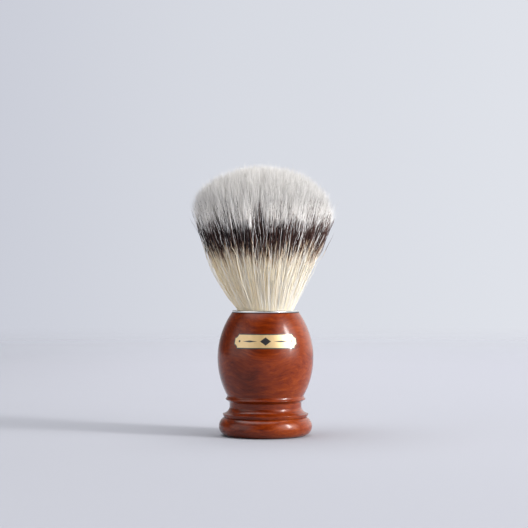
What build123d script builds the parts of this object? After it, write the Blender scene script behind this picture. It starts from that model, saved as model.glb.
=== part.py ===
from build123d import *
import os
from math import cos, degrees, sin, sqrt

# A shaving brush: a turned wooden handle, a metal collar on its rim, and a knot of fibres glued
# into a socket bored in its top. Millimetres. The origin is the middle of the foot's underside,
# +Z runs up the axis of the brush, and the badge on the barrel faces -Y.
# A "height" is measured up from the surface that the brush stands on.

# Knot of fibres
KNOT_DIAMETER = 22.6  # where it leaves the collar
KNOT_LOFT = 58.9  # free length, from the collar's top to the crown
BLOOM_DIAMETER = 57.6  # the fan at its widest
CROWN_HEIGHT = 17.3  # from the widest place up to the crown
SHOULDER_RADIUS = 12.0  # of the crown's rounded edge
BLOOM_BULGE = 1.2  # how far the fan's side bows out from straight
ROOT_TAPER = 0.5  # how much smaller the tied roots' radius is than the knot's

# Collar, pressed into the socket's mouth
COLLAR_THICKNESS = 0.8
SLEEVE_WALL = 0.5
SLEEVE_LENGTH = 6.0
COLLAR_ROUND = 0.32
COLLAR_RELIEF = 0.14

# Handle, a single turning, from the foot up
CONTACT_DIAMETER = 31.4  # the flat circle that it stands on
FOOT_DIAMETER = 38.1
FOOT_WIDEST_HEIGHT = 3.8
FOOT_TOP_DIAMETER = 34.2
FOOT_TOP_HEIGHT = 7.45
GROOVE_DEPTH = 0.28
GROOVE_WIDTH = 0.36
ARRIS_DIAMETER = 35.1
ARRIS_HEIGHT = 8.95
COVE_RADIUS = 3.6
COVE_HEIGHT = 2.55
NECK_DIAMETER = 29.4
NECK_LENGTH = 2.2
BEAD_DIAMETER = 32.9
BEAD_LIP_RISE = 1.2  # from the neck's top out to the bead's tip
BEAD_CROWN_RISE = 1.35  # from the bead's tip in to the waist
BEAD_CROWN_RADIUS = 2.0
WAIST_DIAMETER = 31.3
BELLY_DIAMETER = 39.15
BELLY_HEIGHT = 31.8
HANDLE_HEIGHT = 50.3
RIM_WALL = 1.65  # wood left around the socket at the rim
SOCKET_DEPTH = 16.0
FINE_ROUND = 0.15  # polish takes this much off a sharp edge
SOFT_ROUND = 0.35

# What holds the knot
PLUG_HEIGHT = 8.0
PLUG_FLOOR = 3.0  # resin below the ends of the roots
ADHESIVE_WALL = 0.5
ADHESIVE_FLOOR = 0.8
THREAD_DIAMETER = 0.5
THREAD_TURNS = 4
THREAD_BELOW_PLUG_TOP = 0.7

# Badge on the barrel, its width measured round the barrel
BADGE_HEIGHT = 39.1  # of its middle
BADGE_WIDTH = 27.0
BADGE_TALL = 6.0
BADGE_CORNER = 1.5
BADGE_BORDER = 0.42
BACKING_THICKNESS = 0.08
FOIL_THICKNESS = 0.06
DIAMOND_WIDTH = 4.4
DIAMOND_TALL = 3.2
NEEDLE_LENGTH = 6.2
NEEDLE_TALL = 0.8
NEEDLE_PLACE = 6.4  # from the badge's middle, round the barrel
DOT_DIAMETER = 0.9
DOT_PLACE = 10.9

# Clearances, each on one side
KNOT_CLEARANCE = 0.1
SLEEVE_CLEARANCE = 0.05
THREAD_CLEARANCE = 0.02

# Radii and heights that follow from the sizes above
knot_radius = KNOT_DIAMETER / 2
root_radius = knot_radius - ROOT_TAPER
sleeve_inner = knot_radius + KNOT_CLEARANCE
sleeve_outer = sleeve_inner + SLEEVE_WALL
socket_radius = sleeve_outer + SLEEVE_CLEARANCE
rim_radius = socket_radius + RIM_WALL
plug_radius = socket_radius - ADHESIVE_WALL
belly_radius = BELLY_DIAMETER / 2
neck_radius = NECK_DIAMETER / 2
bloom_radius = BLOOM_DIAMETER / 2
# The crown is one arc that runs smoothly into the arc of its rounded edge
crown_radius = (bloom_radius**2 + CROWN_HEIGHT**2 - 2 * bloom_radius * SHOULDER_RADIUS) / (
    2 * (CROWN_HEIGHT - SHOULDER_RADIUS)
)

collar_top = HANDLE_HEIGHT + COLLAR_THICKNESS
crown_top = collar_top + KNOT_LOFT
socket_floor = HANDLE_HEIGHT - SOCKET_DEPTH
plug_bottom = socket_floor + ADHESIVE_FLOOR
plug_top = plug_bottom + PLUG_HEIGHT
root_bottom = plug_bottom + PLUG_FLOOR
neck_bottom = ARRIS_HEIGHT + COVE_HEIGHT
neck_top = neck_bottom + NECK_LENGTH
bead_tip_height = neck_top + BEAD_LIP_RISE
waist_height = bead_tip_height + BEAD_CROWN_RISE
thread_pitch = THREAD_DIAMETER + THREAD_CLEARANCE
thread_channel = THREAD_TURNS * thread_pitch + THREAD_CLEARANCE
thread_bottom = plug_top - THREAD_BELOW_PLUG_TOP - thread_channel

# Corners of the handle's outline, as (radius, height)
foot_edge = (CONTACT_DIAMETER / 2, 0)
foot_widest = (FOOT_DIAMETER / 2, FOOT_WIDEST_HEIGHT)
foot_top = (FOOT_TOP_DIAMETER / 2, FOOT_TOP_HEIGHT)
groove_root = (FOOT_TOP_DIAMETER / 2 - GROOVE_DEPTH, FOOT_TOP_HEIGHT + GROOVE_WIDTH / 2)
groove_top = (FOOT_TOP_DIAMETER / 2, FOOT_TOP_HEIGHT + GROOVE_WIDTH)
arris = (ARRIS_DIAMETER / 2, ARRIS_HEIGHT)
neck_low = (neck_radius, neck_bottom)
neck_high = (neck_radius, neck_top)
bead_tip = (BEAD_DIAMETER / 2, bead_tip_height)
waist = (WAIST_DIAMETER / 2, waist_height)
belly = (belly_radius, BELLY_HEIGHT)
rim = (rim_radius, HANDLE_HEIGHT)
barrel_side = ThreePointArc(waist, belly, rim)


def turned(face):
    """A full turn about the brush's axis of a face drawn as (radius, height)."""
    return revolve(Plane.XZ * face, axis=Axis.Z)


def rounded(face, corners, radius):
    """The face with the given corners rounded."""
    found = [face.vertices().sort_by_distance(corner)[0] for corner in corners]
    return fillet(found, radius)


def handle():
    """Foot, groove, cove, neck, bead and barrel in one piece of wood, with the blind socket."""
    outline = make_face(
        [
            Line((0, 0), foot_edge),
            TangentArc(foot_widest, foot_edge, tangent=(0, -1)),
            TangentArc(foot_widest, foot_top, tangent=(0, 1)),
            Line(foot_top, groove_root),
            Line(groove_root, groove_top),
            Line(groove_top, arris),
            RadiusArc(neck_low, arris, -COVE_RADIUS),
            Line(neck_low, neck_high),
            Line(neck_high, bead_tip),
            RadiusArc(bead_tip, waist, BEAD_CROWN_RADIUS),
            barrel_side,
            Line(rim, (socket_radius, HANDLE_HEIGHT)),
            Line((socket_radius, HANDLE_HEIGHT), (socket_radius, socket_floor)),
            Line((socket_radius, socket_floor), (0, socket_floor)),
            Line((0, socket_floor), (0, 0)),
        ]
    )
    outline = rounded(outline, [arris, bead_tip], FINE_ROUND)
    outline = rounded(outline, [neck_low, neck_high, waist, rim], SOFT_ROUND)
    return turned(outline)


def collar():
    """A flat flange as wide as the handle's rim, and a thin sleeve down into the socket."""
    sleeve_bottom = HANDLE_HEIGHT - SLEEVE_LENGTH
    outline = Polyline(
        (sleeve_inner, sleeve_bottom),
        (sleeve_inner, collar_top),
        (rim_radius, collar_top),
        (rim_radius, HANDLE_HEIGHT),
        (sleeve_outer, HANDLE_HEIGHT),
        (sleeve_outer, sleeve_bottom),
        close=True,
    )
    section = make_face(outline)
    section = rounded(section, [(rim_radius, collar_top), (sleeve_inner, collar_top)], COLLAR_ROUND)
    section = rounded(section, [(rim_radius, HANDLE_HEIGHT)], COLLAR_RELIEF)
    return turned(section)


def knot_fibres():
    """The fibres as one closed body: tied roots, the straight part in the collar, and the fan."""
    leaves = Vector(knot_radius, collar_top)
    widest = Vector(bloom_radius, crown_top - CROWN_HEIGHT)
    outward = (widest - leaves).rotate(Axis.Z, -90).normalized()
    bowed = (leaves + widest) / 2 + outward * BLOOM_BULGE
    crown = Vector(0, crown_top)
    shoulder_centre = widest - Vector(SHOULDER_RADIUS, 0)
    crown_centre = crown - Vector(0, crown_radius)
    shoulder = crown_centre + (shoulder_centre - crown_centre).normalized() * crown_radius
    outline = make_face(
        [
            Line((0, root_bottom), (root_radius, root_bottom)),
            Line((root_radius, root_bottom), (root_radius, plug_top)),
            Line((root_radius, plug_top), leaves),
            ThreePointArc(leaves, bowed, widest),
            TangentArc(widest, shoulder, tangent=(0, 1)),
            TangentArc(crown, shoulder, tangent=(1, 0)),
            Line(crown, (0, root_bottom)),
        ]
    )
    return turned(outline)


def binding_thread():
    """The turns of thread round the roots, each as a closed ring beside the next."""
    ring_radius = root_radius + THREAD_CLEARANCE + THREAD_DIAMETER / 2
    first = thread_bottom + THREAD_CLEARANCE + THREAD_DIAMETER / 2
    ring = Torus(ring_radius, THREAD_DIAMETER / 2)
    return Compound(children=[Pos(0, 0, first + turn * thread_pitch) * ring for turn in range(THREAD_TURNS)])


def glue_plug():
    """The cast plug: a cup round the roots, with the channel that the thread lies in."""
    channel_radius = root_radius + THREAD_DIAMETER + 2 * THREAD_CLEARANCE
    plug = column(plug_radius, plug_bottom, plug_top)
    plug -= column(root_radius, root_bottom, plug_top)
    return plug - column(channel_radius, thread_bottom, thread_bottom + thread_channel)


def socket_adhesive():
    """The bed that the plug sits in, up to the plug's top."""
    return column(socket_radius, socket_floor, plug_top) - column(plug_radius, plug_bottom, plug_top)


def column(radius, bottom, top):
    """A cylinder on the brush's axis between two heights."""
    return Pos(0, 0, bottom) * Cylinder(radius, top - bottom, align=(Align.CENTER, Align.CENTER, Align.MIN))


def badge_radius():
    """The barrel's radius at the badge's middle."""
    centre = barrel_side.arc_center
    return centre.X + sqrt(barrel_side.radius**2 - (BADGE_HEIGHT - centre.Y) ** 2)


def punched(sketch, round_place, height):
    """A sketch pushed straight out through the badge, at a place measured round the barrel."""
    turn = round_place / badge_radius()
    outward = Vector(sin(turn), -cos(turn))
    square_to_radius = Plane((0, 0, height), x_dir=(cos(turn), sin(turn)), z_dir=outward)
    return extrude(square_to_radius * sketch, BELLY_DIAMETER)


def badge_layer(inner, outer, border):
    """A layer of the badge between two depths over the barrel, with its hollow corners."""
    centre = Pos(barrel_side.arc_center.X, barrel_side.arc_center.Y)
    reach = barrel_side.radius
    band = centre * Circle(reach + outer) - centre * Circle(reach + inner)
    band &= Pos(belly_radius, BADGE_HEIGHT) * Rectangle(belly_radius, BADGE_TALL - 2 * border)
    sweep = degrees((BADGE_WIDTH - 2 * border) / badge_radius())
    layer = Rot(0, 0, -90 - sweep / 2) * revolve(Plane.XZ * band, axis=Axis.Z, revolution_arc=sweep)
    for side in (-1, 1):
        for end in (-1, 1):
            bite = Circle(BADGE_CORNER + border)
            layer -= punched(bite, side * BADGE_WIDTH / 2, BADGE_HEIGHT + end * BADGE_TALL / 2)
    return layer


def badge_backing():
    """The dark plaque that lies on the barrel."""
    return badge_layer(0, BACKING_THICKNESS, 0)


def badge_foil():
    """Gold foil on the plaque, with a diamond, two needles and two dots cut through it."""
    foil = badge_layer(BACKING_THICKNESS, BACKING_THICKNESS + FOIL_THICKNESS, BADGE_BORDER)
    foil -= punched(rhombus(DIAMOND_WIDTH, DIAMOND_TALL), 0, BADGE_HEIGHT)
    for side in (-1, 1):
        foil -= punched(rhombus(NEEDLE_LENGTH, NEEDLE_TALL), side * NEEDLE_PLACE, BADGE_HEIGHT)
        foil -= punched(Circle(DOT_DIAMETER / 2), side * DOT_PLACE, BADGE_HEIGHT)
    return foil


def rhombus(width, tall):
    """A diamond about the origin."""
    return make_face(Polyline((width / 2, 0), (0, tall / 2), (-width / 2, 0), (0, -tall / 2), close=True))


PIECES = [
    handle,
    collar,
    knot_fibres,
    binding_thread,
    glue_plug,
    socket_adhesive,
    badge_backing,
    badge_foil,
]

os.makedirs("parts", exist_ok=True)
for piece in PIECES:
    export_step(piece(), f"parts/{piece.__name__}.step")
print(f"handle {HANDLE_HEIGHT} high, knot {KNOT_LOFT} free, brush {crown_top:.1f} in all")
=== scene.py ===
import math

import bmesh
import bpy
import numpy as np
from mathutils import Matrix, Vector


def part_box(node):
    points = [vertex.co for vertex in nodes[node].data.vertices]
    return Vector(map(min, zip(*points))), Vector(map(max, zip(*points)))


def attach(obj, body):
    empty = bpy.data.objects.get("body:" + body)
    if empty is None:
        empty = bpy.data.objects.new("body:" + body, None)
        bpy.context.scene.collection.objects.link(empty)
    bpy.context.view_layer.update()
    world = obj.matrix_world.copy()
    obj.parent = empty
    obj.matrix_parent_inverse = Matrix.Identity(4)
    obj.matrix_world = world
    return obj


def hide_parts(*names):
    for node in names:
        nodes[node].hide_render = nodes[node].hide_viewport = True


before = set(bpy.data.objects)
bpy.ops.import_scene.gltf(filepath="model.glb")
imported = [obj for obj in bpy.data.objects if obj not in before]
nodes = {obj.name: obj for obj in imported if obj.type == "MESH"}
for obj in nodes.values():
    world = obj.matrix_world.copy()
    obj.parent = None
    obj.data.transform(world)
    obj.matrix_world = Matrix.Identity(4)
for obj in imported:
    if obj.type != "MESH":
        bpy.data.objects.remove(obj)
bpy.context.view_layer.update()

# %% [markdown]
# # A shaving brush
#
# A shaving brush is three things: a turned wooden handle, a metal collar on its rim, and a knot of
# fibres glued into a socket under the collar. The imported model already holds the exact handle,
# collar, badge and hidden pieces, so this lesson leaves their shapes alone and gives each its finish.
# The knot is different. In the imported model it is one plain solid, and what makes a brush look like
# a brush is that it is thousands of separate strands. So the knot is the one piece built here.
#
# Everything is in metres. The brush stands on its foot at the origin, and its badge faces -Y.

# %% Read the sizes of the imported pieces
MM = 0.001
rim_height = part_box("handle")[1].z
collar_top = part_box("collar")[1].z
low_knot, high_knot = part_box("knot_fibres")
crown_top = high_knot.z
print(f"rim {rim_height / MM:.1f} mm, collar top {collar_top / MM:.1f} mm, crown {crown_top / MM:.1f} mm")

# %% [markdown]
# ## Camera
#
# The brush is seen from straight in front, at about two thirds of its height, through a long lens.
# A long lens from far away keeps the rims of the handle nearly flat, where a short lens close by
# would turn them into ellipses. The camera looks level, so upright lines stay upright.

# %% Place the camera
EYE_DISTANCE = 0.694
EYE_HEIGHT = 0.0699
EYE_SIDE = -0.0006
LONG_LENS = 115.9  # millimetres, on the usual 36 mm sensor

bpy.ops.object.camera_add(location=(EYE_SIDE, -EYE_DISTANCE, EYE_HEIGHT), rotation=(math.pi / 2, 0, 0))
camera = bpy.context.object
camera.name = "camera"
camera.data.lens = LONG_LENS
camera.data.clip_start = 0.01
bpy.context.scene.camera = camera
bpy.context.scene.view_settings.view_transform = "Standard"
bpy.context.scene.cycles.diffuse_bounces = 10  # light passes from strand to strand many times
print("camera looks level from", tuple(round(v, 3) for v in camera.location))

# %% [markdown]
# ## A small kit for finishes
#
# A procedural finish is arithmetic on coordinates and noise. Written node by node that arithmetic is
# hard to read, so `Value` wraps one output socket and turns `a * b + 1` into Math nodes. Colours and
# vectors must not pass through a Math node, which would turn them grey, so they have their own
# calls. `Finish` is one material: it holds the Principled shader and adds any other node.

class Value:
    """One output socket that can be used in an expression."""

    def __init__(self, finish, socket):
        self.finish = finish
        self.socket = socket

    def maths(self, operation, *others):
        node = self.finish.tree.nodes.new("ShaderNodeMath")
        node.operation = operation
        for socket, value in zip(node.inputs, others):
            self.finish.feed(socket, value)
        return Value(self.finish, node.outputs[0])

    def __add__(self, other):
        return self.maths("ADD", self, other)

    def __radd__(self, other):
        return self.maths("ADD", other, self)

    def __sub__(self, other):
        return self.maths("SUBTRACT", self, other)

    def __rsub__(self, other):
        return self.maths("SUBTRACT", other, self)

    def __mul__(self, other):
        return self.maths("MULTIPLY", self, other)

    def __rmul__(self, other):
        return self.maths("MULTIPLY", other, self)

    def __truediv__(self, other):
        return self.maths("DIVIDE", self, other)

    def __rtruediv__(self, other):
        return self.maths("DIVIDE", other, self)

    def __neg__(self):
        return self.maths("MULTIPLY", self, -1.0)

    def floor(self):
        return self.maths("FLOOR", self)

    def step(self, start, end):
        """0 below start, 1 above end, and a smooth rise between them."""
        return self.finish.add(
            "MapRange",
            {"interpolation_type": "SMOOTHSTEP"},
            {"Value": self, "From Min": start, "From Max": end},
        )


class Finish:
    """A material while it is being made."""

    def __init__(self, name, **shader_values):
        self.material = bpy.data.materials.new(name)
        self.material.use_nodes = True
        self.tree = self.material.node_tree
        self.shader = self.tree.nodes["Principled BSDF"]
        for key, value in shader_values.items():
            self.shader.inputs[key.replace("_", " ")].default_value = value

    def feed(self, socket, value):
        """Links a Value to a socket, or writes a plain number, colour or vector on it."""
        if isinstance(value, Value):
            self.tree.links.new(value.socket, socket)
        else:
            socket.default_value = value

    def add(self, kind, settings=None, inputs=None, out=0):
        """Adds any node: its type, its settings, the values of its sockets, and which output to use."""
        node = self.tree.nodes.new("ShaderNode" + kind)
        for key, value in (settings or {}).items():
            if key == "stops":
                self.set_stops(node.color_ramp, value)
            else:
                setattr(node, key, value)
        for key, value in (inputs or {}).items():
            self.feed(node.inputs[key], value)
        return Value(self, node.outputs[out])

    def set_stops(self, ramp, stops):
        while len(ramp.elements) < len(stops):
            ramp.elements.new(0.5)
        for element, (place, colour) in zip(ramp.elements, stops):
            element.position = place
            element.color = (*colour, 1)

    def mix(self, factor, first, second):
        """A colour between two colours."""
        node = self.tree.nodes.new("ShaderNodeMix")
        node.data_type = "RGBA"
        self.feed(node.inputs["Factor"], factor)
        for socket, value in ((node.inputs[6], first), (node.inputs[7], second)):
            self.feed(socket, (*value, 1) if isinstance(value, tuple) else value)
        return Value(self, node.outputs[2])

    def place(self, scale):
        """Object coordinates, multiplied by a scale along each axis."""
        coords = self.add("TexCoord", out=3)
        return self.add("VectorMath", {"operation": "MULTIPLY"}, {0: coords, 1: scale})

    def noise(self, vector, scale=1.0, detail=2.0, roughness=0.5, distortion=0.0):
        return self.add(
            "TexNoise",
            inputs={
                "Vector": vector,
                "Scale": scale,
                "Detail": detail,
                "Roughness": roughness,
                "Distortion": distortion,
            },
        )

    def bump(self, height, strength, distance):
        """Feeds the shader's Normal with small relief; distance is in metres."""
        normal = self.add("Bump", inputs={"Height": height, "Strength": strength, "Distance": distance})
        self.feed(self.shader.inputs["Normal"], normal)

    def use(self, **varying):
        """Feeds what changes over the surface into the shader."""
        for key, value in varying.items():
            self.feed(self.shader.inputs[key.replace("_", " ")], value)
        return self.material


def dress(names, material):
    """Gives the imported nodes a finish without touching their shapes."""
    for name in names:
        mesh = nodes[name].data
        mesh.materials.clear()
        mesh.materials.append(material)
    print(material.name, "on", ", ".join(names))


PER_MM = (1 / MM, 1 / MM, 1 / MM)

# %% [markdown]
# ## Varnished wood
#
# The handle is a close-grained, red-brown root wood under clear gloss varnish. Root wood has no long
# straight grain: it has cloudy patches, short wavy streaks that run across the handle, and many fine
# dark pores. The colour is built in that order: clouds choose between a dark and a light brown,
# streaks move it a little, and pores darken it in short dashes. On top of that the right side, towards
# the soft box, is painted lighter: painted light, with an edge that the clouds make uneven. The varnish
# is the shader's own coat. It has been rubbed down, so it blurs what it mirrors a little.
#
# Right under the collar there is a hair-thin line of painted shade between metal and wood, where the
# gap between them lies in shadow. It is drawn by height in the finish, with the varnish thinned on it,
# because the imported shape has no groove there.

# %% Make the wood
DARK_LINE_FROM = 0.38  # millimetres below the rim
DARK_LINE_FULL = 0.12

wood = Finish(
    "varnished_wood",
    Coat_Weight=1.0,
    Coat_Roughness=0.18,
    Coat_IOR=1.37,
    Specular_IOR_Level=0.03,
)
spot = wood.place(PER_MM)
drift = wood.add("TexNoise", inputs={"Vector": spot, "Scale": 0.055, "Detail": 1.0}, out=1)
drift = wood.add("VectorMath", {"operation": "SCALE"}, {0: drift, "Scale": 14.0})
swirled = wood.add("VectorMath", {"operation": "ADD"}, {0: spot, 1: drift})
along_grain = wood.add("VectorMath", {"operation": "MULTIPLY"}, {0: swirled, 1: (0.13, 0.4, 1.0)})
clouds = wood.noise(swirled, scale=0.085, detail=3.0)
streaks = wood.noise(along_grain, scale=0.95, detail=5.0, roughness=0.66)
fine = wood.noise(along_grain, scale=3.2, detail=3.0, roughness=0.6)
dashes = wood.add("VectorMath", {"operation": "MULTIPLY"}, {0: swirled, 1: (0.8, 1.6, 5.0)})
pores = wood.noise(dashes, scale=0.9, detail=2.0, roughness=0.5).step(0.62, 0.74)
sideways = wood.add("SeparateXYZ", inputs={"Vector": swirled})
# Painted light: the wood is made lighter towards +X, the side the soft box lights, its edge moved by the
# clouds.
painted_light_right = (sideways - clouds * 8.0).step(0.0, 15.0)
tone = clouds * 0.40 + streaks * 0.56 + fine * 0.22 + painted_light_right * 0.13 - 0.128
body_colour = wood.add(
    "ValToRGB",
    {
        "stops": [
            (0.30, (0.066, 0.0066, 0.0005)),
            (0.44, (0.130, 0.0145, 0.0009)),
            (0.56, (0.205, 0.027, 0.0016)),
            (0.72, (0.300, 0.052, 0.0045)),
        ]
    },
    {"Fac": tone},
)
wood_colour = wood.mix(pores * 0.5, body_colour, (0.036, 0.004, 0.0005))
wood.bump(pores * -0.4 + fine * 0.3, 0.10, 0.00004)
height_up = wood.add("SeparateXYZ", inputs={"Vector": spot}, out=2)
# Painted shade: a near-black line just under the rim, with less varnish, stands in for the shadow in the gap
# under the collar.
painted_gap_shade = height_up.step(rim_height / MM - DARK_LINE_FROM, rim_height / MM - DARK_LINE_FULL)
gap_shade_colour = wood.mix(painted_gap_shade, wood_colour, (0.010, 0.004, 0.004))
wood_roughness = 0.34 + fine * 0.16
wood_material = wood.use(Base_Color=gap_shade_colour, Roughness=wood_roughness, Coat_Weight=1.0 - painted_gap_shade * 0.9)
dress(["handle"], wood_material)

# %% [markdown]
# ## Polished metal
#
# The collar is spun from thin metal and polished. It has no colour of its own to speak of, so it
# lives from what it mirrors: the pale room, the wood below and the fibres above. Polishing on a
# wheel leaves hair-fine rings, made here as noise that changes with height and distance from the
# axis much faster than it changes round the ring.

# %% Make the metal
metal = Finish("polished_metal", Metallic=1.0)
spot = metal.place(PER_MM)
smears = metal.noise(spot, scale=0.9, detail=3.0)
rings = metal.noise(metal.place((60.0, 60.0, 9000.0)), scale=1.0, detail=2.0)
metal_colour = metal.mix(smears * 0.35, (0.80, 0.79, 0.77), (0.66, 0.655, 0.64))
metal.bump(rings, 0.12, 0.00002)
dress(["collar"], metal.use(Base_Color=metal_colour, Roughness=0.07 + smears * 0.12))

# %% [markdown]
# ## Badge
#
# The badge is a thin dark plaque with gold foil on it. The foil is pressed, so it is a little uneven:
# fine brushing along its length, and a warmer and a cooler gold that drift into each other. The dark
# plaque shows as the border and through the cut ornament.

# %% Make the foil and the plaque
foil = Finish("gold_foil", Coat_Weight=1.0, Coat_Roughness=0.07, Coat_IOR=1.5)
spot = foil.place(PER_MM)
brushing = foil.noise(foil.place((300.0, 300.0, 9000.0)), scale=1.0, detail=3.0)
patches = foil.noise(spot, scale=0.5, detail=3.0)
foil_colour = foil.mix(patches, (0.80, 0.585, 0.305), (0.66, 0.455, 0.205))
foil.bump(brushing, 0.12, 0.00002)
foil_metal = 0.4 + patches * 0.15
foil_roughness = 0.34 + brushing * 0.12
dress(["badge_foil"], foil.use(Base_Color=foil_colour, Metallic=foil_metal, Roughness=foil_roughness))

plaque = Finish("black_print", Coat_Weight=0.7, Coat_Roughness=0.1)
spot = plaque.place(PER_MM)
speckle = plaque.noise(spot, scale=3.0, detail=4.0)
plaque_colour = plaque.mix(speckle, (0.008, 0.007, 0.009), (0.022, 0.020, 0.024))
plaque.bump(speckle, 0.08, 0.00002)
dress(["badge_backing"], plaque.use(Base_Color=plaque_colour, Roughness=0.35 + speckle * 0.15))

# %% [markdown]
# ## Hidden pieces
#
# The cast plug, the bed of adhesive and the binding thread are inside the handle and never seen from
# outside, but whoever takes the brush apart in a cutaway view sees them. The resin is amber and a
# little cloudy, the adhesive is pale and grainy, and the thread has a twist.

# %% Make resin, adhesive and thread
resin = Finish("cast_resin", Coat_Weight=0.4, Coat_Roughness=0.15)
murk = resin.noise(resin.place(PER_MM), scale=0.4, detail=4.0)
resin_colour = resin.mix(murk, (0.50, 0.33, 0.13), (0.70, 0.56, 0.30))
resin.bump(murk, 0.15, 0.00008)
dress(["glue_plug"], resin.use(Base_Color=resin_colour, Roughness=0.22 + murk * 0.2))

bed = Finish("adhesive_bed")
grains = bed.noise(bed.place(PER_MM), scale=2.2, detail=5.0)
bed_colour = bed.mix(grains, (0.62, 0.59, 0.50), (0.80, 0.78, 0.71))
bed.bump(grains, 0.3, 0.0001)
dress(["socket_adhesive"], bed.use(Base_Color=bed_colour, Roughness=0.5 + grains * 0.25))

thread = Finish("binding_thread")
spot = thread.place(PER_MM)
twist = thread.add(
    "TexWave",
    {"bands_direction": "DIAGONAL"},
    {"Vector": spot, "Scale": 1.6, "Distortion": 1.2, "Detail": 1.0},
    out=1,
)
thread_colour = thread.mix(twist, (0.46, 0.41, 0.32), (0.76, 0.71, 0.60))
thread.bump(twist, 0.6, 0.00008)
dress(["binding_thread"], thread.use(Base_Color=thread_colour, Roughness=0.7 + twist * 0.15))

# %% [markdown]
# ## The knot: one strand
#
# A strand is modelled once: a three-sided rod one unit tall, cut into lengths so that it
# can bend, its top drawn to a point. Three sides are enough, because a strand is far thinner than
# anything the eye can resolve, and a knot needs so many that every face counts.

# %% Model the strand
CUTS = (0.11, 0.22, 0.33, 0.44, 0.55, 0.65, 0.75, 0.85, 0.93)  # where the free length can bend

bpy.ops.object.select_all(action="DESELECT")
bpy.ops.mesh.primitive_cylinder_add(vertices=3, radius=1, depth=1, location=(0, 0, 0.5))
strand = bpy.context.object
bpy.ops.object.transform_apply(location=True, rotation=True, scale=True)
bpy.ops.object.mode_set(mode="EDIT")
for cut in CUTS:
    bpy.ops.mesh.select_all(action="SELECT")
    bpy.ops.mesh.bisect(plane_co=(0, 0, cut), plane_no=(0, 0, 1))
bpy.ops.mesh.select_all(action="DESELECT")
work = bmesh.from_edit_mesh(strand.data)
for vertex in work.verts:
    vertex.select_set(vertex.co.z > 0.999)
work.select_flush(True)
bmesh.update_edit_mesh(strand.data)
bpy.ops.mesh.merge(type="CENTER")
bpy.ops.mesh.select_all(action="SELECT")
bpy.ops.mesh.normals_make_consistent(inside=False)
bpy.ops.object.mode_set(mode="OBJECT")
print("one strand:", len(strand.data.vertices), "points,", len(strand.data.polygons), "faces")

# %% [markdown]
# The strand's points are read once. Each keeps how far up the strand it is and which way it stands
# off the middle. A copy of the strand is then those same points laid along another path.

# %% Read the strand
up = np.array([v.co.z for v in strand.data.vertices])
off = np.array([(v.co.x, v.co.y) for v in strand.data.vertices])
off[up > 0.999] = 0
faces = [tuple(p.vertices) for p in strand.data.polygons]
bpy.data.objects.remove(strand)

levels, level_of = np.unique(np.round(up, 4), return_inverse=True)
print("levels up the strand:", levels)

# %% [markdown]
# ## The knot: where the strands run
#
# At the collar the strands fill a round bundle as evenly as seeds fill a sunflower. From there they
# fan out, each keeping its share of the way from the axis to the edge, and they end on the crown,
# which is a wide arc with a rounded shoulder. A strand near the edge is short and leans well out, and
# one in the middle is long and stands straight.
#
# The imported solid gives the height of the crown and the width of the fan. The arcs of the crown are
# worked out from them here, so that every strand knows where it should end.

# %% Sizes of the fan
STRANDS = 24000
PIECES = 8
SEED = 11

# Millimetres from here on
ROOT_RADIUS = 10.6
LEAVING_RADIUS = 11.05  # just inside the collar
bloom_radius = high_knot.x / MM
leaves_at = collar_top / MM
root_at = low_knot.z / MM + 0.2
top = crown_top / MM
WIDEST_BELOW_TOP = 17.3
SHOULDER = 12.0
BULGE = 0.045  # how far the fan's side bows out from straight
crown_arc = (bloom_radius**2 + WIDEST_BELOW_TOP**2 - 2 * bloom_radius * SHOULDER) / (
    2 * (WIDEST_BELOW_TOP - SHOULDER)
)
shoulder_from = crown_arc * (bloom_radius - SHOULDER) / (crown_arc - SHOULDER)
print(f"crown arc {crown_arc:.1f} mm, shoulder from {shoulder_from:.1f} mm out")


def crown_height(out):
    """The crown's height at a distance from the axis, in millimetres."""
    out = np.clip(out, 0, bloom_radius)
    cap = top - crown_arc + np.sqrt(np.maximum(crown_arc**2 - out**2, 0))
    edge = np.sqrt(np.maximum(SHOULDER**2 - (out - bloom_radius + SHOULDER) ** 2, 0))
    return np.where(out < shoulder_from, cap, top - WIDEST_BELOW_TOP + edge)


def sunflower(count):
    """Evenly spread points on a disc of radius 1."""
    index = np.arange(count) + 0.5
    out = np.sqrt(index / count)
    turn = index * math.pi * (3 - math.sqrt(5))
    return np.stack([out * np.cos(turn), out * np.sin(turn)], axis=1)


def nearest(points, centres):
    """For each point, which centre is nearest."""
    found = np.empty(len(points), int)
    for start in range(0, len(points), 2000):
        part = points[start : start + 2000]
        gap = ((part[:, None, :] - centres[None, :, :]) ** 2).sum(axis=2)
        found[start : start + 2000] = gap.argmin(axis=1)
    return found


# %% [markdown]
# ## The knot: tufts, locks and loose ends
#
# Even strands would look like a machined part. Real ones cling together in small tufts, tufts lean
# together in larger locks, and each strand is crimped and kinked, so it wanders on its own. They are
# not all of one length either: some are short, a few stand proud of the crown, and the crown falls
# away a little at its rim and at the right. Every one of these is drawn from one seeded generator, so
# the knot comes out the same each time.

# %% Scatter the strands into tufts and locks
TUFTS = 2600
LOCKS = 260
LOCK_LEAN = 0.45  # how far the tips lean, in millimetres
TUFT_LEAN = 0.35
OWN_LEAN = 0.75
WILD_SHARE = 0.03  # strands that lean much further
STRAND_KINK = 0.38
TUFT_KINK = 0.16
SHORT_SHARE = 0.25
PROUD_SHARE = 0.13
PROUD_MOST = 2.0
RIM_DROP = 1.5
RIGHT_DROP = 2.6

rng = np.random.default_rng(SEED)
spread = sunflower(STRANDS) + rng.normal(0, 0.006, (STRANDS, 2))
too_far = np.maximum(np.hypot(*spread.T), 1)
spread /= too_far[:, None]

tufts = sunflower(TUFTS) + rng.normal(0, 0.008, (TUFTS, 2))
locks = sunflower(LOCKS) + rng.normal(0, 0.02, (LOCKS, 2))
tuft_of = nearest(spread, tufts)
lock_of = nearest(spread, locks)

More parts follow.
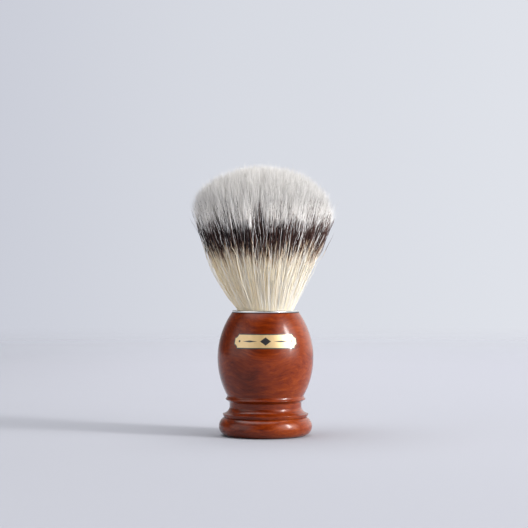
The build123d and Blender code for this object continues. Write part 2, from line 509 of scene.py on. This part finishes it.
lock_lean = rng.normal(0, LOCK_LEAN, (LOCKS, 2))
tuft_lean = rng.normal(0, TUFT_LEAN, (TUFTS, 2))
own_lean = rng.normal(0, OWN_LEAN, (STRANDS, 2))
wild = rng.random(STRANDS) < WILD_SHARE
own_lean[wild] *= 3.0
kinks = rng.normal(0, STRAND_KINK, (STRANDS, len(levels), 2))
kinks = kinks + rng.normal(0, TUFT_KINK, (TUFTS, len(levels), 2))[tuft_of]
crimp_turn = rng.uniform(0, 2 * math.pi, TUFTS)
crimp_side = rng.uniform(0, 2 * math.pi, TUFTS)
crimp_size = rng.uniform(0.03, 0.18, TUFTS)

out_share = np.hypot(*spread.T)
ragged = np.clip(rng.normal(0, 0.7, STRANDS), -1.6, 1.3)
ends_at = crown_height(out_share * bloom_radius) + ragged - 0.1
short = rng.random(STRANDS) < SHORT_SHARE
ends_at[short] -= rng.exponential(1.6, short.sum())
proud = rng.random(STRANDS) < PROUD_SHARE
ends_at[proud] += np.minimum(rng.exponential(0.85, proud.sum()), PROUD_MOST)
ends_at -= RIM_DROP * out_share**6
ends_at -= RIGHT_DROP * np.clip(spread[:, 0], 0, 1) ** 4
print(f"tips from {ends_at.min():.1f} to {ends_at.max():.1f} mm up, {short.sum()} short, {proud.sum()} proud")

# %% [markdown]
# ## The knot: the path of each strand
#
# A path is a point for each level of the strand. It starts inside the socket, goes straight up to the
# collar, and from there follows the fan. Leaning, crimp and kinks are added on top, all of them zero
# at the collar, where the strands are held. A handful at the left side bow out from the rest, as
# strays do, and the whole fan sits a millimetre to the left, because no knot is set quite straight.

# %% Lay out every path
STRAYS = 16
SET_OVER = 1.0

free = (levels - levels[1]) / (1 - levels[1])  # 0 where the strand leaves the collar, 1 at its tip
height = leaves_at - 0.6 + np.clip(free, 0, 1)[None, :] * (ends_at - leaves_at + 0.6)[:, None]
height[:, 0] = root_at
rise = np.clip(free, 0, 1)
fan = rise + 4 * BULGE * rise * (1 - rise)
reach = LEAVING_RADIUS + (bloom_radius - LEAVING_RADIUS) * fan
reach[0] = ROOT_RADIUS

cling = 0.5 * rise**2
gathered = spread[:, None, :] + (tufts[tuft_of] - spread)[:, None, :] * cling[None, :, None]
path = gathered * reach[None, :, None]
path += lock_lean[lock_of][:, None, :] * (rise**1.6)[None, :, None]
path += tuft_lean[tuft_of][:, None, :] * (rise**1.5)[None, :, None]
path += own_lean[:, None, :] * (rise**2.0)[None, :, None]
wave = np.sin(rise[None, :] * 11.0 + crimp_turn[tuft_of][:, None]) * (rise**0.9)[None, :]
wave *= crimp_size[tuft_of][:, None]
side = np.stack([np.cos(crimp_side), np.sin(crimp_side)], axis=1)[tuft_of]
path += wave[:, :, None] * side[:, None, :]
path += kinks * (np.clip((rise - 0.08) * 1.9, 0, 1) * (1 - 0.45 * rise**3))[None, :, None]
stray = np.flatnonzero((spread[:, 0] < -0.86) & (out_share > 0.95))[::9][:STRAYS]
bow = rng.uniform(1.2, 3.4, len(stray))
path[stray, :, 0] -= bow[:, None] * np.sin(math.pi * rise**0.8)[None, :]
path[:, :, 0] -= SET_OVER * np.sin(math.pi / 2 * np.clip(rise / 0.45, 0, 1))[None, :]
print("strands", STRANDS, "widest", round(float(np.hypot(*path.reshape(-1, 2).T).max()), 2), "mm")

# %% [markdown]
# ## The knot: what colour the strands are
#
# The strands copy badger hair: cream from the collar up, then a dark band, then nearly white tips.
# The band is not a painted ring. It starts and ends at a slightly different height on every strand,
# some strands are paler, and its lower edge is brown before it turns to cream.
#
# A strand is too thin to be given its own picture, so each one carries a narrow strip of a shared
# chart in its UV map. Up the chart is height above the collar. Across it are columns, and each column
# is one kind of strand: how high its band sits, and how light it is. Neighbours get similar columns,
# with enough exceptions to make the edges ragged. The lighter columns are picked more often at the
# right, so strands there are painted a little whiter than those at the left: painted light from the
# soft box on that side, on top of the strands' own range of tints.

# %% Pick a column of the chart for each strand
HIGH_STEPS = 12  # where the band ends; step 0 is a strand without a band
LOW_STEPS = 5  # where it begins
TINT_STEPS = 3
COLUMNS = HIGH_STEPS * LOW_STEPS * TINT_STEPS
CHART_LOW = root_at - 1.0
CHART_TALL = top + 3.0 - CHART_LOW
HIGH_FROM = -3.0  # millimetres from the usual end of the band
HIGH_RANGE = 14.0
LOW_RANGE = 8.5

reaching = np.where(rng.random(TUFTS) < 0.3, rng.exponential(4.2, TUFTS), rng.normal(0, 0.7, TUFTS))
band_end = (reaching - 0.6)[tuft_of] + rng.normal(0, 0.4, LOCKS)[lock_of]
band_end += rng.normal(0, 1.8, STRANDS) + 1.4 * spread[:, 0] ** 2
band_end += np.where(rng.random(STRANDS) < 0.13, rng.exponential(4.5, STRANDS), 0)
high_step = (band_end - HIGH_FROM) / HIGH_RANGE * (HIGH_STEPS - 1)
high_step = np.clip(high_step, 0, HIGH_STEPS - 2).astype(int) + 1
no_band = rng.random(STRANDS) < np.where(out_share > 0.93, 0.12, 0.06)
high_step[no_band] = 0
band_start = 0.5 + 0.14 * rng.normal(0, 1, TUFTS)[tuft_of] + 0.22 * rng.normal(0, 1, STRANDS)
low_step = np.clip(band_start * LOW_STEPS, 0, LOW_STEPS - 1).astype(int)
# Painted light: the shift by spread[:, 0] makes strands on the right, towards the soft box, lighter.
tint_and_painted_light_step = np.round(0.9 + rng.normal(0, 0.8, STRANDS) + 0.8 * spread[:, 0])
tint_and_painted_light_step = np.clip(tint_and_painted_light_step, 0, TINT_STEPS - 1).astype(int)
column = (high_step * LOW_STEPS + low_step) * TINT_STEPS + tint_and_painted_light_step
print("columns in use:", len(np.unique(column)), "of", COLUMNS)

# %% [markdown]
# The material undoes the packing: from how far across the chart it is, it works out the column, and
# from the column where the band starts and ends and how light the strand is. The rest is height.

# %% Shade the chart
BAND_LOW = 74.8  # millimetres above the ground
BAND_HIGH = 85.6

fibre = Finish("fibres", Specular_IOR_Level=0.4)
chart = fibre.add("UVMap", {"uv_map": "OFBake"})
chart_x = fibre.add("SeparateXYZ", inputs={"Vector": chart})
chart_y = fibre.add("SeparateXYZ", inputs={"Vector": chart}, out=1)
column_here = (chart_x * COLUMNS).floor()
pair_here = (column_here / TINT_STEPS).floor()
tint_here = (column_here - pair_here * TINT_STEPS) / (TINT_STEPS - 1)
high_here = (pair_here / LOW_STEPS).floor()
low_here = (pair_here - high_here * LOW_STEPS) / (LOW_STEPS - 1) - 0.5
mm_up = chart_y * CHART_TALL + CHART_LOW
dice = fibre.add("TexWhiteNoise", {"noise_dimensions": "1D"}, {"W": column_here + 0.5})

low_edge = low_here * LOW_RANGE + (dice - 0.5) * 1.2 + BAND_LOW
high_edge = (high_here - 1) * (HIGH_RANGE / (HIGH_STEPS - 1)) + (HIGH_FROM + BAND_HIGH)
has_band = high_here.step(0.4, 0.6)
rising = (mm_up - low_edge).step(-0.9, 0.9)
falling = (mm_up - high_edge).step(-0.9, 1.3)
brown = (mm_up - low_edge).step(-4.2, -0.2)
cream = fibre.mix(tint_here, (0.985, 0.89, 0.68), (0.89, 0.87, 0.81))
white_low = fibre.mix(tint_here, (0.97, 0.945, 0.91), (0.98, 0.965, 0.94))
white_high = fibre.mix(tint_here, (0.81, 0.795, 0.775), (0.70, 0.69, 0.675))
white = fibre.mix((mm_up + dice * 2.0).step(88.0, 98.0), white_low, white_high)
dark = fibre.mix(tint_here, (0.012, 0.004, 0.004), (0.11, 0.050, 0.038))
tan = fibre.mix(tint_here, (0.42, 0.24, 0.13), (0.76, 0.57, 0.38))
pale = fibre.mix((mm_up - BAND_LOW).step(-4.0, 8.0), cream, white)
below = fibre.mix(brown, cream, tan)
banded = fibre.mix(falling, fibre.mix(rising, below, dark), white)
fibre_colour = fibre.mix(has_band, pale, banded)
fibre_material = fibre.use(Base_Color=fibre_colour, Roughness=0.38 + dice * 0.2)
print(f"band from {BAND_LOW} to {BAND_HIGH} mm on a usual strand")

# %% [markdown]
# ## The knot: build it
#
# The strands are divided into eight wedges round the axis, so that no one mesh is too heavy. Each
# wedge is written in one go: the points of all its strands, the faces, and the strip of the chart
# that each face shows. Laying 24,000 strands one by one with the modelling tools isn't
# practical, so this step is written in code.
#
# The faces stay flat. Smoothed over, a rod with only three sides loses light and the gaps between
# strands turn grey. Each strand is also turned about itself by a chance angle, so that the flat faces
# of neighbours don't all catch the light together.

# %% Build the wedges
THICKNESS = 0.108  # from a strand's middle to its edges, in millimetres
thin_out = 1 - 0.80 * np.clip((rise - 0.72) / 0.28, 0, 1) ** 1.6 - 0.18 * np.clip(1 - rise / 0.15, 0, 1)


def strip_across(face):
    """For each corner of a face of the strand, whether it is on the strip's left or right edge."""
    turns = {c: math.atan2(off[c][1], off[c][0]) for c in face if np.hypot(*off[c]) > 0.5}
    middle = sum(off[c] for c in turns) / len(turns)
    lean = math.atan2(middle[1], middle[0])
    across = []
    for corner in face:
        if corner not in turns:
            across.append(0.5)
        else:
            across.append(1.0 if math.sin(turns[corner] - lean) > 0 else 0.0)
    return across


corner_points = np.concatenate([np.array(f) for f in faces])
face_sizes = np.array([len(f) for f in faces])
corner_across = np.concatenate([np.array(strip_across(f)) for f in faces])


def build_strands(name, chosen):
    """One mesh of the chosen strands."""
    count = len(chosen)
    thick = THICKNESS * thin_out[level_of][None, :] * rng.uniform(0.8, 1.2, (count, 1))
    points = np.empty((count, len(up), 3))
    spin = rng.uniform(0, 2 * math.pi, count)[:, None]
    turned_x = off[:, 0] * np.cos(spin) - off[:, 1] * np.sin(spin)
    turned_y = off[:, 0] * np.sin(spin) + off[:, 1] * np.cos(spin)
    turned_off = np.stack([turned_x, turned_y], axis=2)
    points[:, :, :2] = path[chosen][:, level_of] + turned_off * thick[:, :, None]
    points[:, :, 2] = height[chosen][:, level_of]
    mesh = bpy.data.meshes.new(name)
    mesh.vertices.add(count * len(up))
    mesh.vertices.foreach_set("co", (points * MM).ravel())
    corners = (corner_points[None] + (np.arange(count) * len(up))[:, None]).ravel()
    mesh.loops.add(len(corners))
    mesh.loops.foreach_set("vertex_index", corners.astype(np.int32))
    sizes = np.tile(face_sizes, count)
    mesh.polygons.add(len(sizes))
    starts = np.concatenate([[0], np.cumsum(sizes)[:-1]])
    mesh.polygons.foreach_set("loop_start", starts.astype(np.int32))
    mesh.update(calc_edges=True)
    chart_map = mesh.uv_layers.new(name="OFBake")
    across = (column[chosen][:, None] + 0.2 + 0.6 * corner_across[None]) / COLUMNS
    upward = (points[:, corner_points, 2] - CHART_LOW) / CHART_TALL
    chart_map.data.foreach_set("uv", np.stack([across, upward], axis=2).ravel())
    mesh.polygons.foreach_set("use_smooth", np.zeros(len(sizes), bool))
    mesh.validate()
    piece = bpy.data.objects.new(name, mesh)
    bpy.context.scene.collection.objects.link(piece)
    mesh.materials.append(fibre_material)
    return piece


round_share = np.arctan2(spread[:, 1], spread[:, 0]) / (2 * math.pi) + 0.5
wedge_of = (round_share * PIECES).astype(int) % PIECES
wedges = [build_strands(f"fibres_{i + 1}", np.flatnonzero(wedge_of == i)) for i in range(PIECES)]
for wedge in wedges:
    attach(wedge, "root")
    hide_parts("knot_fibres")
triangles = sum(len(w.data.loops) - 2 * len(w.data.polygons) for w in wedges)
print("strands in", len(wedges), "pieces,", triangles, "triangles")

# %% [markdown]
# ## Floor
#
# The brush stands on a pale seamless sheet. A real one curves up into a wall so far behind that the
# eye can't find the bend. Here the floor is a round sheet that fades out towards its rim, and behind
# it is the pale room itself. The sheet has three tones, near, far and far left, so that it meets the
# room without an edge when seen from the front. They are painted light and shade: the far sheet is
# painted lighter than the near one, and darker again at the far left, away from the soft box. From the
# sides a faint line is left.

# %% Lay the floor
FLOOR_RADIUS = 1.4
FLOOR_NEAR = (0.356, 0.364, 0.402)
FLOOR_FAR = (0.452, 0.461, 0.512)
FLOOR_FAR_LEFT = (0.356, 0.364, 0.405)

bpy.ops.object.select_all(action="DESELECT")
bpy.ops.mesh.primitive_circle_add(vertices=96, radius=FLOOR_RADIUS, fill_type="NGON", location=(0, 0, 0))
floor = bpy.context.object
floor.name = "floor"
bpy.ops.object.mode_set(mode="EDIT")
bpy.ops.mesh.select_all(action="SELECT")
bpy.ops.mesh.inset(thickness=FLOOR_RADIUS * 0.5)
bpy.ops.object.mode_set(mode="OBJECT")

paper = Finish("paper", Roughness=0.9, Specular_IOR_Level=0.05)
spot = paper.place((1.0, 1.0, 1.0))
mottle = paper.noise(spot, scale=3.0, detail=3.0)
from_middle = paper.add("VectorMath", {"operation": "LENGTH"}, {0: spot}, out=1)
from_front = paper.add("SeparateXYZ", inputs={"Vector": spot}, out=1).step(-0.35, 0.65)
from_left = paper.add("SeparateXYZ", inputs={"Vector": spot}).step(-0.30, 0.02)
# Painted light and shade: the far sheet is lighter than the near one, and darker at the far left, away from
# the soft box.
far_tone = paper.mix(from_left, FLOOR_FAR_LEFT, FLOOR_FAR)
fade = 1.0 - from_middle.step(0.45, 1.25)
floor.data.materials.append(
    paper.use(
        Base_Color=paper.mix(from_front * 0.97 + mottle * 0.03, FLOOR_NEAR, far_tone),
        Alpha=fade,
    )
)
print("floor", round(2 * FLOOR_RADIUS, 2), "m across,", len(floor.data.polygons), "faces")

# %% [markdown]
# ## Light
#
# A tall, narrow soft box stands to the right and a little in front, above the brush, and throws the
# long shadow that lies to the left. The rest of the light is the room, and varnish shows the room as
# a mirror would: dark where the camera stands, a pale reflector at the front left, dark again at the
# far left, and a pale wall to the right. So the room is painted by compass direction, as a ramp. It
# is dimmer high up, apart from one bright panel overhead, and it glows round the soft box.

# %% Place the soft box
KEY_TURN = 64.0  # degrees from the front, round to the right
KEY_RISE = 24.0
KEY_AWAY = 1.1
KEY_WIDE = 0.17
KEY_TALL = 0.66
KEY_WATTS = 9.7


def direction(turn, rise):
    """The unit vector to a compass turn from the front and a rise, both in degrees."""
    turn, rise = math.radians(turn), math.radians(rise)
    return Vector((math.sin(turn) * math.cos(rise), -math.cos(turn) * math.cos(rise), math.sin(rise)))


toward_key = direction(KEY_TURN, KEY_RISE)
bpy.ops.object.light_add(type="AREA", location=Vector((0, 0, 0.05)) + toward_key * KEY_AWAY)
key = bpy.context.object
key.name = "key"
key.rotation_euler = toward_key.to_track_quat("Z", "Y").to_euler()
key.data.shape = "ELLIPSE"
key.data.size = KEY_WIDE
key.data.size_y = KEY_TALL
key.data.energy = KEY_WATTS
key.data.color = (1.0, 0.985, 0.965)

# %% Paint the room
ROOM_STOPS = [  # degrees round from the front, and how bright
    (-180, 0.55),
    (-148, 0.22),
    (-128, 0.06),
    (-104, 0.08),
    (-87, 1.05),
    (-48, 1.25),
    (-27, 0.25),
    (-8, 0.03),
    (14, 0.06),
    (36, 0.90),
    (60, 1.90),
    (78, 1.35),
    (95, 0.35),
    (112, 0.90),
    (135, 1.25),
    (180, 0.60),
]
TOP_LIGHT = 3.1  # the overhead panel
TOP_TURN, TOP_RISE = -120, 80
TOP_EDGE, TOP_FULL = 38, 18  # degrees from its middle, where it starts and where it is full
HIGH_UP = 0.18  # how much of the ramp is left high up
GLOW = 2.1  # round the soft box
GLOW_EDGE, GLOW_FULL = 34, 8
ROOM_TINT = (1.13, 1.13, 1.14)
SEEN_LEFT = (0.578, 0.597, 0.672)
SEEN_MIDDLE = (0.686, 0.708, 0.768)
SEEN_RIGHT = (0.753, 0.776, 0.831)
BELOW = (0.62, 0.64, 0.70)


class Room(Finish):
    """The world, made with the same kit as a finish."""

    def __init__(self, name):
        world = bpy.data.worlds.new(name)
        world.use_nodes = True
        bpy.context.scene.world = world
        self.tree = world.node_tree
        self.shader = self.tree.nodes["Background"]


room = Room("room")
toward = room.add("TexCoord", out=0)
toward_x = room.add("SeparateXYZ", inputs={"Vector": toward})
toward_y = room.add("SeparateXYZ", inputs={"Vector": toward}, out=1)
toward_z = room.add("SeparateXYZ", inputs={"Vector": toward}, out=2)
turned = room.add("Math", {"operation": "ARCTAN2"}, {0: toward_x, 1: -toward_y})
turned = turned / (2 * math.pi) + 0.5
round_room = room.add(
    "ValToRGB",
    {"stops": [((turn + 180) / 360, (level,) * 3) for turn, level in ROOM_STOPS]},
    {"Fac": turned},
)
toward_top = direction(TOP_TURN, TOP_RISE)
near_top = room.add("VectorMath", {"operation": "DOT_PRODUCT"}, {0: toward, 1: tuple(toward_top)}, out=1)
overhead = near_top.step(math.cos(math.radians(TOP_EDGE)), math.cos(math.radians(TOP_FULL)))
dimmed = room.add("VectorMath", {"operation": "SCALE"}, {0: round_room, "Scale": HIGH_UP})
walls = room.mix(toward_z.step(0.48, 0.76), round_room, dimmed)
walls = room.mix(overhead, walls, (TOP_LIGHT,) * 3)
near_key = room.add("VectorMath", {"operation": "DOT_PRODUCT"}, {0: toward, 1: tuple(toward_key)}, out=1)
halo = near_key.step(math.cos(math.radians(GLOW_EDGE)), math.cos(math.radians(GLOW_FULL)))
lit = room.add("VectorMath", {"operation": "SCALE"}, {0: (GLOW,) * 3, "Scale": halo})
lit = room.add("VectorMath", {"operation": "ADD"}, {0: walls, 1: lit})
lit = room.add("VectorMath", {"operation": "MULTIPLY"}, {0: lit, 1: ROOM_TINT})
lit = room.mix(toward_z.step(-0.02, 0.02), BELOW, lit)
# Painted light and shade: seen by the camera, the room is a backdrop painted darker at the left and lighter
# at the right, the soft box side.
seen = room.add("LightPath", out="Is Camera Ray")
backdrop = room.mix(toward_x.step(-0.22, 0.02), SEEN_LEFT, SEEN_MIDDLE)
backdrop = room.mix(toward_x.step(-0.02, 0.22), backdrop, SEEN_RIGHT)
room.feed(room.shader.inputs["Color"], room.mix(seen, lit, backdrop))
print("the key is toward", tuple(round(v, 2) for v in toward_key))
